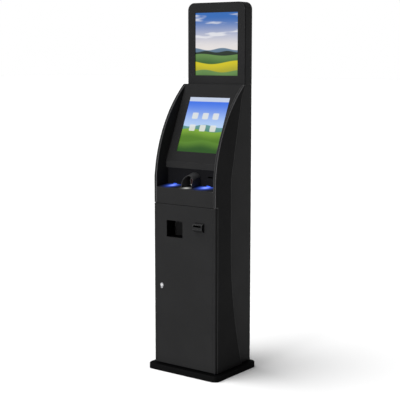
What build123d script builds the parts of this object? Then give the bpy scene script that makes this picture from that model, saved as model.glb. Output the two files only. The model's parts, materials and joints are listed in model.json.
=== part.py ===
from build123d import *
import os
from math import cos, radians, sin, tan

# Free-standing dual-screen payment kiosk, millimetres.
# The origin is the middle of the base's underside, +Z is up and the front faces -Y.

# ---------------------------------------------------------------- driving sizes
# Widths
body_width = 406
cheek_thickness = 16
sheet = 3
side_gap = 0.5
base_side_margin = 29

# Depths, counted from the face of the front door
front_setback = 32
screen_foot_depth = 80
recess_setback = 15
display_setback = 22.244
display_depth = 69

# Heights, stacked from the floor
base_thickness = 32
door_floor_gap = 6
door_height = 877
seam_gap = 2
fascia_height = 87
desk_rise = 9
recess_height = 89
chin_height = 34
screen_length = 446.5
screen_tilt = 23.6
display_height = 435

# Base
base_corner = 30
base_edge = 4
bolt_hole = 13
bolt_spacing_x = 340
bolt_spacing_y = 200

# Door
door_skin = 2
door_return = 17
door_corner = 4
groove_width = 1.5
groove_depth = 1
cheek_door_gap = 5
pivot_inset = 8
pivot_depth = 8
pivot_pin = 6
pivot_clearance = 0.05
pivot_engagement = 12
pocket_width = 107
pocket_height = 90
pocket_drop = 86
pocket_centre = -65.5
pocket_depth = 72
reader_width = 60
reader_height = 51
reader_drop = 81
reader_centre = 101
reader_projection = 25
slot_height = 10
slot_width = 50
slot_drop = 12
lock_inset = 51
lock_height = 433
lock_bore = 16
lock_clearance = 0.05

# Side cheeks
wing_straight = 140
wing_bulge = 55
waist_depth = 143
waist_low = 720
waist_high = 1050
shoulder_setback = 39
shoulder_drop = 76
crest_reach = 13.244
foot_depth = 248

# Screens
touch_width = 262
touch_height = 312
touch_foot = 59
touch_bezel_thickness = 20
screen_width = 283
screen_height = 335
screen_foot = 47
display_corner = 40
display_bezel_thickness = 12
glass = 3
glass_recess = 8
lcd_thickness = 18
lcd_margin = 12

# Fits
fit = 0.5
running_clearance = 0.05

# ---------------------------------------------------------------- derived places
half_body = body_width / 2
cheek_outer = half_body
lock_x = -(half_body - lock_inset)
cheek_inner = cheek_outer - cheek_thickness
inner_half = cheek_inner - sheet
panel_half = cheek_inner - side_gap
base_width = 2 * (cheek_outer + base_side_margin)
tilt = radians(screen_tilt)
screen_run = screen_length * sin(tilt)
column_depth = screen_foot_depth + screen_run + display_setback + display_depth
base_depth = front_setback + column_depth
y_door = -base_depth / 2 + front_setback
y_back = base_depth / 2
y_screen_foot = y_door + screen_foot_depth
y_desk_back = y_screen_foot + recess_setback
y_display = y_back - display_depth
door_bottom = base_thickness + door_floor_gap
door_top = door_bottom + door_height
fascia_bottom = door_top + seam_gap
desk_front_z = fascia_bottom + fascia_height
desk_back_z = desk_front_z + desk_rise
recess_top = desk_back_z + recess_height
screen_foot_z = recess_top + chin_height
screen_top_z = screen_foot_z + screen_length * cos(tilt)
y_screen_top = y_screen_foot + screen_run
top_z = screen_top_z + display_height
bezel_run = touch_bezel_thickness / cos(tilt)
pivot_x = half_body - pivot_inset
y_pivot = y_door + pivot_depth
pocket_top = door_top - pocket_drop
pocket_bottom = pocket_top - pocket_height
reader_top = door_top - reader_drop
reader_bottom = reader_top - reader_height
lock_z = door_bottom + lock_height

# The plane of the touch screen's face: its x runs across, its y up the slope.
screen_plane = Plane(
    origin=(0, y_screen_foot, screen_foot_z), x_dir=(1, 0, 0), z_dir=(0, -cos(tilt), sin(tilt))
)

os.makedirs("parts", exist_ok=True)


def slab(x0, x1, y0, y1, z0, z1, mode=Mode.ADD):
    """Put a block between two corners into the part being built."""
    with Locations((x0, y0, z0)):
        Box(x1 - x0, y1 - y0, z1 - z0, align=(Align.MIN, Align.MIN, Align.MIN), mode=mode)


def rod(start, axis, radius, length, mode=Mode.ADD):
    """Put a cylinder that leaves a point along an axis into the part being built."""
    with Locations(Plane(origin=start, z_dir=axis).location):
        Cylinder(radius, length, align=(Align.CENTER, Align.CENTER, Align.MIN), mode=mode)


def write(piece, name):
    """Label a finished piece and write its own file."""
    piece.part.label = name
    export_step(piece.part, f"parts/{name}.step")


# ---------------------------------------------------------------- base
with BuildPart() as base_plate:
    with BuildSketch(Plane.XY):
        RectangleRounded(base_width, base_depth, base_corner)
    extrude(amount=base_thickness)
    chamfer(base_plate.faces().sort_by(Axis.Z)[-1].outer_wire().edges(), base_edge)
    with Locations((0, 0, base_thickness)):
        with GridLocations(bolt_spacing_x, bolt_spacing_y, 2, 2):
            Hole(bolt_hole / 2)
write(base_plate, "base_plate")


# ---------------------------------------------------------------- side cheeks
def cheek(x_inner):
    """A thick side plate: bowed front edge above the desk, waisted rear edge below."""
    y_wing = y_door
    y_low = y_door + door_return + cheek_door_gap
    foot = (y_door + foot_depth, base_thickness)
    waist = (y_door + waist_depth, waist_low)
    crest = (y_screen_top + crest_reach, screen_top_z)
    shoulder = (y_screen_top + crest_reach - shoulder_setback, screen_top_z - shoulder_drop)
    wing_foot = (y_wing, fascia_bottom + wing_straight)
    with BuildPart() as plate:
        with BuildSketch(Plane.YZ.offset(x_inner)):
            with BuildLine():
                Polyline((y_low, fascia_bottom), (y_low, base_thickness), foot)
                TangentArc(waist, foot, tangent=(0, -1))
                Line(waist, (y_door + waist_depth, waist_high))
                Polyline((y_door + waist_depth, waist_high), shoulder, crest, (y_screen_top, screen_top_z))
                SagittaArc(wing_foot, (y_screen_top, screen_top_z), wing_bulge)
                Polyline(wing_foot, (y_wing, fascia_bottom), (y_low, fascia_bottom))
            make_face()
        extrude(amount=cheek_thickness)
    return plate


for side, x_inner in (("left", -cheek_outer), ("right", cheek_inner)):
    piece = cheek(x_inner)
    if side == "right":
        with BuildPart() as bored:
            add(piece.part)
            rod((pivot_x, y_pivot, fascia_bottom), (0, 0, 1), pivot_pin / 2, pivot_engagement, Mode.SUBTRACT)
        piece = bored
    write(piece, f"cheek_{side}")


# ---------------------------------------------------------------- column
back_sheet = sheet
y_side_front = y_screen_foot + bezel_run + fit
vent_slot = 8
vent_pitch = 16
vent_width = 120
vent_rows = 7
vent_high_z = 1300
vent_low_z = 260
inlet_width = 48
inlet_height = 28
inlet_x = -60
inlet_z = 110
switch_width = 22
switch_height = 28
switch_x = 0
screw_radius = 3.5
screw_rows = 5
screw_inset = 12
screw_end = 40
screw_pitch = (screen_top_z - base_thickness - 2 * screw_end) / (screw_rows - 1)
screw_places = [
    (x_screw, y_back - back_sheet, base_thickness + screw_end + row * screw_pitch)
    for row in range(screw_rows)
    for x_screw in (-inner_half + screw_inset, inner_half - screw_inset)
]

for side, x0 in (("left", -cheek_inner), ("right", inner_half)):
    with BuildPart() as column_side:
        with BuildSketch(Plane.YZ.offset(x0)):
            with BuildLine():
                Polyline(
                    (y_side_front, base_thickness),
                    (y_back, base_thickness),
                    (y_back, screen_top_z - sheet),
                    (y_screen_top + bezel_run - sheet * tan(tilt) + fit, screen_top_z - sheet),
                    (y_side_front, screen_foot_z),
                    close=True,
                )
            make_face()
        extrude(amount=sheet)
    write(column_side, f"column_{side}")

with BuildPart() as back_panel:
    slab(-inner_half, inner_half, y_back - back_sheet, y_back, base_thickness, screen_top_z - sheet)
    for z_vents in (vent_high_z, vent_low_z):
        with BuildSketch(Plane.XZ.offset(-y_back)) as slots:
            with Locations((0, z_vents)):
                with GridLocations(1, vent_pitch, 1, vent_rows):
                    SlotOverall(vent_width, vent_slot)
        extrude(slots.sketch, amount=back_sheet, dir=(0, -1, 0), mode=Mode.SUBTRACT)
    slab(
        inlet_x - inlet_width / 2, inlet_x + inlet_width / 2, y_back - back_sheet, y_back,
        inlet_z - inlet_height / 2, inlet_z + inlet_height / 2, Mode.SUBTRACT,
    )
    slab(
        switch_x - switch_width / 2, switch_x + switch_width / 2, y_back - back_sheet, y_back,
        inlet_z - switch_height / 2, inlet_z + switch_height / 2, Mode.SUBTRACT,
    )
    for place in screw_places:
        rod(place, (0, 1, 0), screw_radius, back_sheet, Mode.SUBTRACT)
write(back_panel, "back_panel")

with BuildPart() as column_top:
    slab(-cheek_inner, cheek_inner, y_screen_top + side_gap, y_back, screen_top_z - sheet, screen_top_z)
write(column_top, "column_top")


# ---------------------------------------------------------------- fascia, desk and recess
desk_edge = 2
deck_hole = 60
slot_opening_width = 30
slot_opening_height = 8
slot_opening_x = 100
slot_opening_rise = 49
lamp_width = 24
lamp_height = 4
lamp_depth = 3
lamp_left_x = -134
lamp_right_x = 90
slot_opening_z = desk_back_z + slot_opening_rise

with BuildPart() as front_fascia:
    slab(-panel_half, panel_half, y_door, y_door + sheet, fascia_bottom, desk_front_z - sheet)
write(front_fascia, "front_fascia")

with BuildPart() as deck_plate:
    slab(-inner_half, inner_half, y_door + sheet, y_back - sheet, fascia_bottom, fascia_bottom + sheet)
    with Locations((0, 0, fascia_bottom + sheet)):
        Hole(deck_hole / 2)
write(deck_plate, "deck_plate")

with BuildPart() as desk:
    with BuildSketch(Plane.YZ.offset(-panel_half)):
        with BuildLine():
            Polyline(
                (y_door, desk_front_z - sheet),
                (y_desk_back, desk_back_z - sheet),
                (y_desk_back, desk_back_z),
                (y_door, desk_front_z),
                close=True,
            )
        make_face()
    extrude(amount=2 * panel_half)
    fillet(desk.edges().filter_by(Axis.X).group_by(Axis.Y)[0].sort_by(Axis.Z)[-1], desk_edge)
write(desk, "desk")

with BuildPart() as recess_wall:
    slab(-panel_half, panel_half, y_desk_back, y_desk_back + sheet, desk_back_z - sheet, recess_top)
    slab(
        slot_opening_x - slot_opening_width / 2, slot_opening_x + slot_opening_width / 2,
        y_desk_back, y_desk_back + sheet,
        slot_opening_z - slot_opening_height / 2, slot_opening_z + slot_opening_height / 2, Mode.SUBTRACT,
    )
write(recess_wall, "recess_wall")

# The chin hangs under the screen: a short upright face with a level underside back to the wall.
with BuildPart() as screen_chin:
    with BuildSketch(Plane.YZ.offset(-panel_half)):
        with BuildLine():
            Polyline(
                (y_screen_foot, recess_top),
                (y_desk_back + sheet, recess_top),
                (
                    y_screen_foot + touch_bezel_thickness * cos(tilt),
                    screen_foot_z - touch_bezel_thickness * sin(tilt),
                ),
                (y_screen_foot, screen_foot_z),
                close=True,
            )
        make_face()
    extrude(amount=2 * panel_half)
write(screen_chin, "screen_chin")

with BuildPart() as side_lamps:
    for x_lamp in (lamp_left_x, lamp_right_x):
        slab(
            x_lamp - lamp_width / 2, x_lamp + lamp_width / 2, y_desk_back - lamp_depth, y_desk_back,
            desk_back_z, desk_back_z + lamp_height,
        )
write(side_lamps, "side_lamps")


# ---------------------------------------------------------------- centre hood
hood_half = 35
hood_wall = 2.5
hood_front_depth = 20
hood_front_rise = 62
hood_back_rise = 81
hood_arch_rise = 21
hood_slant_foot = 21
hood_slant_height = 50
hood_slant_back = 24
window_width = 44
window_height = 30
y_hood = y_door + hood_front_depth
below_desk = 1


def hood_arch(half_width, crown):
    """Draw the hood's section above the desk's front edge: upright sides and a shallow arch."""
    left = (-half_width, desk_front_z + crown - hood_arch_rise)
    right = (half_width, desk_front_z + crown - hood_arch_rise)
    with BuildLine() as outline:
        ThreePointArc(left, (0, desk_front_z + crown), right)
        Polyline(right, (half_width, desk_front_z), (-half_width, desk_front_z), left)
    make_face(outline.edges())


# The hood's crown rises towards the wall. Its mouth leans back and its foot follows the desk.
with BuildPart() as centre_hood:
    with BuildSketch(Plane.XZ.offset(-y_hood)) as mouth:
        hood_arch(hood_half, hood_front_rise)
    with BuildSketch(Plane.XZ.offset(-y_desk_back)) as rear:
        hood_arch(hood_half, hood_back_rise)
    loft([mouth.sketch, rear.sketch])
    with BuildSketch(Plane.XZ.offset(-y_hood)) as mouth_hollow:
        hood_arch(hood_half - hood_wall, hood_front_rise - hood_wall)
    with BuildSketch(Plane.XZ.offset(-y_desk_back + hood_wall)) as rear_hollow:
        hood_arch(hood_half - hood_wall, hood_back_rise - hood_wall)
    loft([mouth_hollow.sketch, rear_hollow.sketch], mode=Mode.SUBTRACT)
    with BuildSketch(Plane.YZ.offset(-hood_half)) as slant:
        with BuildLine():
            Polyline(
                (y_hood, desk_front_z + hood_slant_foot),
                (y_hood + hood_slant_back, desk_front_z + hood_slant_foot + hood_slant_height),
                (y_hood + hood_slant_back, desk_front_z + hood_back_rise),
                (y_hood, desk_front_z + hood_back_rise),
                close=True,
            )
        make_face()
    extrude(slant.sketch, amount=2 * hood_half, mode=Mode.SUBTRACT)
    with BuildSketch(Plane.YZ.offset(-hood_half)) as under:
        with BuildLine():
            Polyline(
                (y_door, desk_front_z), (y_desk_back, desk_back_z), (y_desk_back, desk_front_z - below_desk),
                (y_door, desk_front_z - below_desk), close=True,
            )
        make_face()
    extrude(under.sketch, amount=2 * hood_half, mode=Mode.SUBTRACT)
write(centre_hood, "centre_hood")

with BuildPart() as scanner_window:
    slab(
        -window_width / 2, window_width / 2, y_desk_back - hood_wall - glass, y_desk_back - hood_wall,
        desk_back_z + lamp_height, desk_back_z + lamp_height + window_height,
    )
write(scanner_window, "scanner_window")

with BuildPart() as lamp_centre:
    slab(
        -window_width / 2, window_width / 2, y_desk_back - hood_wall - lamp_depth, y_desk_back - hood_wall,
        desk_back_z, desk_back_z + lamp_height,
    )
write(lamp_centre, "lamp_centre")


# ---------------------------------------------------------------- tilted touch screen
touch_centre = touch_foot + touch_height / 2
glass_step = glass_recess / 4

with BuildPart() as touch_bezel:
    with BuildSketch(screen_plane) as face:
        with Locations((0, screen_length / 2)):
            Rectangle(2 * panel_half, screen_length)
        with Locations((0, touch_centre)):
            Rectangle(touch_width, touch_height, mode=Mode.SUBTRACT)
    extrude(face.sketch, amount=-touch_bezel_thickness)
    # The upper rear corner is cut level so that the panel tucks under the column's top.
    slab(
        -panel_half, panel_half, y_screen_top + side_gap, y_display, screen_top_z - sheet, screen_top_z,
        Mode.SUBTRACT,
    )
write(touch_bezel, "touch_bezel")

with BuildPart() as touch_glass:
    with BuildSketch(screen_plane.offset(-glass_step)) as face:
        with Locations((0, touch_centre)):
            Rectangle(touch_width, touch_height)
    extrude(face.sketch, amount=-glass)
write(touch_glass, "touch_glass")

with BuildPart() as touch_display:
    with BuildSketch(screen_plane.offset(-touch_bezel_thickness)) as face:
        with Locations((0, touch_centre)):
            Rectangle(touch_width + 2 * lcd_margin, touch_height + 2 * lcd_margin)
    extrude(face.sketch, amount=-lcd_thickness)
    with BuildSketch(screen_plane.offset(-touch_bezel_thickness)) as face:
        with Locations((0, touch_centre)):
            Rectangle(touch_width, touch_height)
    extrude(face.sketch, amount=touch_bezel_thickness - glass_step - glass)
write(touch_display, "touch_display")

bracket_width = 40
bracket_sheet = 4
bracket_x = 110
with BuildPart() as touch_brackets:
    for x_bracket in (-bracket_x, bracket_x):
        with BuildSketch(screen_plane.offset(-touch_bezel_thickness - lcd_thickness)) as face:
            with Locations((x_bracket, screen_length / 2)):
                Rectangle(bracket_width, screen_length - 2 * bracket_width)
        extrude(face.sketch, amount=-bracket_sheet)
write(touch_brackets, "touch_brackets")


# ---------------------------------------------------------------- upper display
y_housing = y_display + display_bezel_thickness
display_foot_z = screen_top_z
screen_foot_display = display_foot_z + screen_foot
display_shell = 3
cover_thickness = 3
display_plane = Plane.XZ.offset(-y_display)


def display_outline(inset):
    """Draw the display's front outline: square at the foot, round at the two top corners."""
    half = cheek_inner - inset
    foot = display_foot_z + inset
    crown = top_z - inset
    radius = display_corner - inset
    with BuildLine() as outline:
        Polyline((-half, crown - radius), (-half, foot), (half, foot), (half, crown - radius))
        RadiusArc((half, crown - radius), (half - radius, crown), -radius)
        Line((half - radius, crown), (-half + radius, crown))
        RadiusArc((-half + radius, crown), (-half, crown - radius), -radius)
    make_face(outline.edges())


with BuildPart() as display_bezel:
    with BuildSketch(display_plane) as face:
        display_outline(0)
        with Locations((0, screen_foot_display + screen_height / 2)):
            Rectangle(screen_width, screen_height, mode=Mode.SUBTRACT)
    extrude(face.sketch, amount=-display_bezel_thickness)
write(display_bezel, "display_bezel")

with BuildPart() as display_housing:
    with BuildSketch(display_plane.offset(-display_bezel_thickness)) as face:
        display_outline(0)
    extrude(face.sketch, amount=-(display_depth - display_bezel_thickness - cover_thickness))
    with BuildSketch(display_plane.offset(-display_bezel_thickness)) as hollow:
        display_outline(display_shell)
    extrude(hollow.sketch, amount=-display_depth, mode=Mode.SUBTRACT)
write(display_housing, "display_housing")

with BuildPart() as display_cover:
    with BuildSketch(display_plane.offset(-(display_depth - cover_thickness))) as face:
        display_outline(0)
    extrude(face.sketch, amount=-cover_thickness)
    with BuildSketch(display_plane.offset(-(display_depth - cover_thickness))) as slots:
        with Locations((0, display_foot_z + display_height / 2)):
            with GridLocations(1, vent_pitch, 1, vent_rows):
                SlotOverall(vent_width, vent_slot)
    extrude(slots.sketch, amount=-cover_thickness, mode=Mode.SUBTRACT)
write(display_cover, "display_cover")

with BuildPart() as display_glass:
    with BuildSketch(display_plane.offset(-glass_recess)) as face:
        with Locations((0, screen_foot_display + screen_height / 2)):
            Rectangle(screen_width, screen_height)
    extrude(face.sketch, amount=-(display_bezel_thickness - glass_recess))
write(display_glass, "display_glass")

with BuildPart() as display_panel:
    slab(
        -screen_width / 2 - lcd_margin, screen_width / 2 + lcd_margin, y_housing, y_housing + lcd_thickness,
        screen_foot_display - lcd_margin, screen_foot_display + screen_height + lcd_margin,
    )
write(display_panel, "display_panel")

with BuildPart() as display_bracket:
    slab(
        -bracket_x, bracket_x, y_housing + lcd_thickness, y_housing + lcd_thickness + bracket_sheet,
        display_foot_z + display_shell, screen_foot_display + screen_height,
    )
write(display_bracket, "display_bracket")


# ---------------------------------------------------------------- front door
bush_wall = 1.5
bush_radius = pivot_pin / 2 + pivot_clearance + bush_wall
pocket_wall = 2
feed_height = 12
feed_drop = 10
brow_height = 5
brow_depth = 12
brow_setback = 3
lip_height = 14
lip_foot_depth = 8
throat_depth = 30
throat_margin = 3
x_pocket = (pocket_centre - pocket_width / 2, pocket_centre + pocket_width / 2)
y_throat = y_door + throat_depth
slot_top = reader_top - slot_drop
slot_foot = slot_top - slot_height


def pan_outline(inset):
    """Draw the door's plan: two round front corners and a straight back edge."""
    half = half_body - inset
    front = y_door + inset
    rear = y_door + door_return
    radius = door_corner - inset
    with BuildLine() as outline:
        Polyline((-half, front + radius), (-half, rear), (half, rear), (half, front + radius))
        RadiusArc((half, front + radius), (half - radius, front), radius)
        Line((half - radius, front), (-half + radius, front))
        RadiusArc((-half + radius, front), (-half, front + radius), radius)
    make_face(outline.edges())


with BuildPart() as door_panel:
    with BuildSketch(Plane.XY.offset(door_bottom)) as outside:
        pan_outline(0)
    extrude(outside.sketch, amount=door_height)
    with BuildSketch(Plane.XY.offset(door_bottom + door_skin)) as inside:
        pan_outline(door_skin)
    extrude(inside.sketch, amount=door_height - 2 * door_skin, mode=Mode.SUBTRACT)
    slab(x_pocket[0], x_pocket[1], y_door, y_door + door_skin, pocket_bottom, pocket_top, Mode.SUBTRACT)
    slab(
        reader_centre - slot_width / 2, reader_centre + slot_width / 2, y_door, y_door + door_skin,
        slot_foot, slot_top, Mode.SUBTRACT,
    )
    rod((lock_x, y_door, lock_z), (0, 1, 0), lock_bore / 2, door_skin, Mode.SUBTRACT)
    rod((pivot_x, y_pivot, door_bottom), (0, 0, 1), bush_radius, door_height, Mode.SUBTRACT)
    for x_groove in (-cheek_inner, cheek_inner):
        slab(
            x_groove - groove_width / 2, x_groove + groove_width / 2, y_door, y_door + groove_depth,
            door_bottom, door_top, Mode.SUBTRACT,
        )
write(door_panel, "door_panel")

with BuildPart() as door_bushes:
    for z_bush in (door_top - pivot_engagement, door_bottom):
        rod((pivot_x, y_pivot, z_bush), (0, 0, 1), bush_radius, pivot_engagement)
        rod(
            (pivot_x, y_pivot, z_bush), (0, 0, 1), pivot_pin / 2 + pivot_clearance, pivot_engagement,
            Mode.SUBTRACT,
        )
write(door_bushes, "door_bushes")

upper_pin = (door_top - pivot_engagement, fascia_bottom + pivot_engagement)
lower_pin = (base_thickness, door_bottom + pivot_engagement)
with BuildPart() as door_pins:
    for z0, z1 in (upper_pin, lower_pin):
        rod((pivot_x, y_pivot, z0), (0, 0, 1), pivot_pin / 2, z1 - z0)
write(door_pins, "door_pins")

with BuildPart() as receipt_pocket:
    slab(
        x_pocket[0] - pocket_wall, x_pocket[1] + pocket_wall, y_door + door_skin,
        y_door + door_skin + pocket_depth + pocket_wall,
        pocket_bottom - pocket_wall, pocket_top + pocket_wall,
    )
    slab(
        x_pocket[0], x_pocket[1], y_door + door_skin, y_door + door_skin + pocket_depth,
        pocket_bottom, pocket_top, Mode.SUBTRACT,
    )
    slab(
        x_pocket[0] + feed_drop, x_pocket[1] - feed_drop, y_door + door_skin + pocket_depth,
        y_door + door_skin + pocket_depth + pocket_wall, pocket_top - feed_drop - feed_height,
        pocket_top - feed_drop, Mode.SUBTRACT,
    )
write(receipt_pocket, "receipt_pocket")

with BuildPart() as reader_bezel:
    with BuildSketch(Plane.YZ.offset(reader_centre - reader_width / 2)) as profile:
        with BuildLine() as outline:
            Polyline(
                (y_door, reader_top),
                (y_door - brow_depth, reader_top - brow_height),
                (y_door - reader_projection + brow_setback, slot_top),
                (y_door - reader_projection, slot_foot),
                (y_door - reader_projection, slot_foot - lip_height),
                (y_door - lip_foot_depth, reader_bottom),
                (y_door, reader_bottom),
                close=True,
            )
        make_face()
    extrude(profile.sketch, amount=reader_width)
    slab(
        reader_centre - slot_width / 2, reader_centre + slot_width / 2, y_door - reader_projection, y_door,
        slot_foot, slot_top, Mode.SUBTRACT,
    )
write(reader_bezel, "reader_bezel")

with BuildPart() as reader_throat:
    slab(
        reader_centre - reader_width / 2 + throat_margin, reader_centre + reader_width / 2 - throat_margin,
        y_door + door_skin, y_throat, reader_bottom + throat_margin, reader_top - throat_margin,
    )
    slab(
        reader_centre - slot_width / 2, reader_centre + slot_width / 2, y_door + door_skin, y_throat,
        slot_foot, slot_top, Mode.SUBTRACT,
    )
write(reader_throat, "reader_throat")


# ---------------------------------------------------------------- door lock
lock_plate_radius = 11
lock_tab_radius = 6
lock_tab_drop = 13
lock_plate = 3
barrel_length = 24
plug_radius = 6
keyway_width = 2
cam_thickness = 3
cam_width = 12
cam_length = 28
strike_gap = 2
strike_reach = 19
strike_height = 40
strike_leg = 40
y_barrel_end = y_door + barrel_length

with BuildPart() as lock_housing:
    with BuildSketch(Plane.XZ.offset(-y_door)) as face:
        with Locations((lock_x, lock_z)):
            Circle(lock_plate_radius)
        with Locations((lock_x, lock_z - lock_tab_drop)):
            Circle(lock_tab_radius)
        with Locations((lock_x, lock_z - lock_tab_drop / 2)):
            Rectangle(2 * lock_tab_radius, lock_tab_drop)
    extrude(face.sketch, amount=lock_plate)
    rod((lock_x, y_door, lock_z), (0, 1, 0), lock_bore / 2, barrel_length)
    rod(
        (lock_x, y_door - lock_plate, lock_z), (0, 1, 0), plug_radius + lock_clearance,
        barrel_length + lock_plate, Mode.SUBTRACT,
    )
write(lock_housing, "lock_housing")

with BuildPart() as lock_plug:
    rod((lock_x, y_door - lock_plate, lock_z), (0, 1, 0), plug_radius, barrel_length + lock_plate + fit)
    slab(
        lock_x - keyway_width / 2, lock_x + keyway_width / 2, y_door - lock_plate, y_door,
        lock_z - plug_radius / 2, lock_z + plug_radius / 2, Mode.SUBTRACT,
    )
write(lock_plug, "lock_plug")

with BuildPart() as lock_cam:
    with BuildSketch(Plane.XZ.offset(-(y_barrel_end + fit))) as face:
        with Locations((lock_x, lock_z)):
            Circle(cam_width / 2)
        with Locations((lock_x, lock_z - (cam_length - cam_width / 2) / 2)):
            Rectangle(cam_width, cam_length - cam_width / 2)
        with Locations((lock_x, lock_z - cam_length + cam_width / 2)):
            Circle(cam_width / 2)
    extrude(face.sketch, amount=-cam_thickness)
write(lock_cam, "lock_cam")

with BuildPart() as lock_strike:
    slab(
        -cheek_inner, -cheek_inner + strike_reach,
        y_barrel_end - strike_gap - sheet, y_barrel_end - strike_gap,
        lock_z - strike_height / 2, lock_z + strike_height / 2,
    )
    slab(
        -cheek_inner, -cheek_inner + sheet, y_barrel_end - strike_gap - sheet, y_barrel_end + strike_leg,
        lock_z - strike_height / 2, lock_z + strike_height / 2,
    )
write(lock_strike, "lock_strike")


# ---------------------------------------------------------------- inside: note validator and cash box
cash_headroom = 19.5
shelf_front = 105
cash_width = 85
cash_height = 230
box_corner = 6
cash_depth = 200
cash_front = 120
cash_gap = 1
frame_front = 60
frame_depth = 260
head_front = 36
head_depth = 210
head_below = 80
head_above = 16
handle_reach = 22
handle_radius = 5
handle_span = 60
y_shelf = y_door + shelf_front
y_cash = y_door + cash_front
half_bay = cash_width / 2 + cash_gap
head_foot = reader_bottom - head_below
head_top = reader_top + head_above
cash_foot = head_foot - cash_headroom - cash_height
shelf_top = cash_foot - fit
shelf_z = shelf_top - sheet

with BuildPart() as service_shelf:
    slab(-inner_half, inner_half, y_shelf, y_back - back_sheet, shelf_z, shelf_top)
write(service_shelf, "service_shelf")

bay_sides = (
    ("validator_frame_left", reader_centre - half_bay - sheet),
    ("validator_frame_right", reader_centre + half_bay),
)
for name, x0 in bay_sides:
    with BuildPart() as bay_side:
        slab(x0, x0 + sheet, y_door + frame_front, y_door + frame_front + frame_depth, shelf_top, head_top)
    write(bay_side, name)

with BuildPart() as note_validator:
    slab(
        reader_centre - half_bay, reader_centre + half_bay, y_door + head_front,
        y_door + head_front + head_depth, head_foot, head_top,
    )
    slab(
        reader_centre - slot_width / 2, reader_centre + slot_width / 2, y_door + head_front,
        y_door + frame_front, slot_foot, slot_top, Mode.SUBTRACT,
    )
write(note_validator, "note_validator")

with BuildPart() as cash_box:
    slab(
        reader_centre - cash_width / 2, reader_centre + cash_width / 2, y_cash, y_cash + cash_depth,
        cash_foot, cash_foot + cash_height,
    )
    fillet(cash_box.edges().filter_by(Axis.Y), box_corner)
write(cash_box, "cash_box")

z_handle = cash_foot + cash_height / 2
with BuildPart() as cash_handle:
    for z_post in (z_handle - handle_span / 2, z_handle + handle_span / 2):
        rod((reader_centre, y_cash, z_post), (0, -1, 0), handle_radius, handle_reach)
    rod(
        (reader_centre, y_cash - handle_reach, z_handle - handle_span / 2 - handle_radius), (0, 0, 1),
        handle_radius, handle_span + 2 * handle_radius,
    )
write(cash_handle, "cash_handle")


# ---------------------------------------------------------------- inside: receipt printer and its paper
printer_drop = 10
printer_front = 86
printer_depth = 84
printer_half = 55
printer_rise = 5
cover_sheet = 6
cover_gap = 0.5
knuckle_radius = 3
hinge_pin_radius = 1.5
ear_width = 5
roll_radius = 40
roll_width = 80
roll_behind = 58
spindle_radius = 6
holder_gap = 2
holder_depth = 30
shelf_reach = 20
z_printer_shelf = pocket_bottom - printer_drop
z_printer = z_printer_shelf + sheet
printer_top = pocket_top + printer_rise
y_printer = y_door + printer_front
y_printer_back = y_printer + printer_depth
z_hinge = printer_top + cover_gap + knuckle_radius
y_hinge = y_printer_back - knuckle_radius
y_roll = y_printer_back + roll_behind
z_roll = z_printer + roll_radius + holder_gap
x_ears = (pocket_centre - printer_half, pocket_centre + printer_half - ear_width)

with BuildPart() as printer_shelf:
    slab(-inner_half, shelf_reach, y_printer, y_back - back_sheet, z_printer_shelf, z_printer)
write(printer_shelf, "printer_shelf")

with BuildPart() as receipt_printer:
    slab(
        pocket_centre - printer_half, pocket_centre + printer_half, y_printer, y_printer_back,
        z_printer, printer_top,
    )
    for x_ear in x_ears:
        slab(
            x_ear, x_ear + ear_width, y_hinge - knuckle_radius, y_hinge + knuckle_radius,
            printer_top, z_hinge + knuckle_radius,
        )
write(receipt_printer, "receipt_printer")

cover_half = printer_half - ear_width - cover_gap
with BuildPart() as printer_cover:
    slab(
        pocket_centre - cover_half, pocket_centre + cover_half, y_printer, y_hinge,
        z_hinge - knuckle_radius, z_hinge - knuckle_radius + cover_sheet,
    )
    rod((pocket_centre - cover_half, y_hinge, z_hinge), (1, 0, 0), knuckle_radius, 2 * cover_half)
    rod(
        (pocket_centre - cover_half, y_hinge, z_hinge), (1, 0, 0), hinge_pin_radius + running_clearance,
        2 * cover_half, Mode.SUBTRACT,
    )
write(printer_cover, "printer_cover")

with BuildPart() as cover_pin:
    rod(
        (x_ears[0] + ear_width, y_hinge, z_hinge), (1, 0, 0), hinge_pin_radius,
        2 * (printer_half - ear_width),
    )
write(cover_pin, "cover_pin")

with BuildPart() as paper_roll:
    rod((pocket_centre - roll_width / 2, y_roll, z_roll), (1, 0, 0), roll_radius, roll_width)
    rod(
        (pocket_centre - roll_width / 2, y_roll, z_roll), (1, 0, 0), spindle_radius + running_clearance,
        roll_width, Mode.SUBTRACT,
    )
write(paper_roll, "paper_roll")

with BuildPart() as paper_spindle:
    rod(
        (pocket_centre - roll_width / 2 - holder_gap, y_roll, z_roll), (1, 0, 0), spindle_radius,
        roll_width + 2 * holder_gap,
    )
write(paper_spindle, "paper_spindle")

x_holders = (pocket_centre - roll_width / 2 - holder_gap - sheet, pocket_centre + roll_width / 2 + holder_gap)
with BuildPart() as paper_holders:
    for x0 in x_holders:
        slab(
            x0, x0 + sheet, y_roll - holder_depth / 2, y_roll + holder_depth / 2,
            z_printer, z_roll + 2 * spindle_radius,
        )
write(paper_holders, "paper_holders")


# ---------------------------------------------------------------- inside: electronics
computer_x = (-165, -25)
computer_depth = 190
computer_front = 130
computer_height = 60
supply_x = (50, 160)
supply_front = 180
supply_depth = 140
supply_height = 70
module_half = 30
module_depth = 50
module_height = 60
card_half = 22
card_depth = 80
card_height = 30
card_travel = 60

with BuildPart() as computer:
    slab(
        computer_x[0], computer_x[1], y_door + computer_front, y_door + computer_front + computer_depth,
        shelf_top, shelf_top + computer_height,
    )
write(computer, "computer")

with BuildPart() as power_supply:
    slab(
        supply_x[0], supply_x[1], y_door + supply_front, y_door + supply_front + supply_depth,
        base_thickness, base_thickness + supply_height,
    )
write(power_supply, "power_supply")

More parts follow.
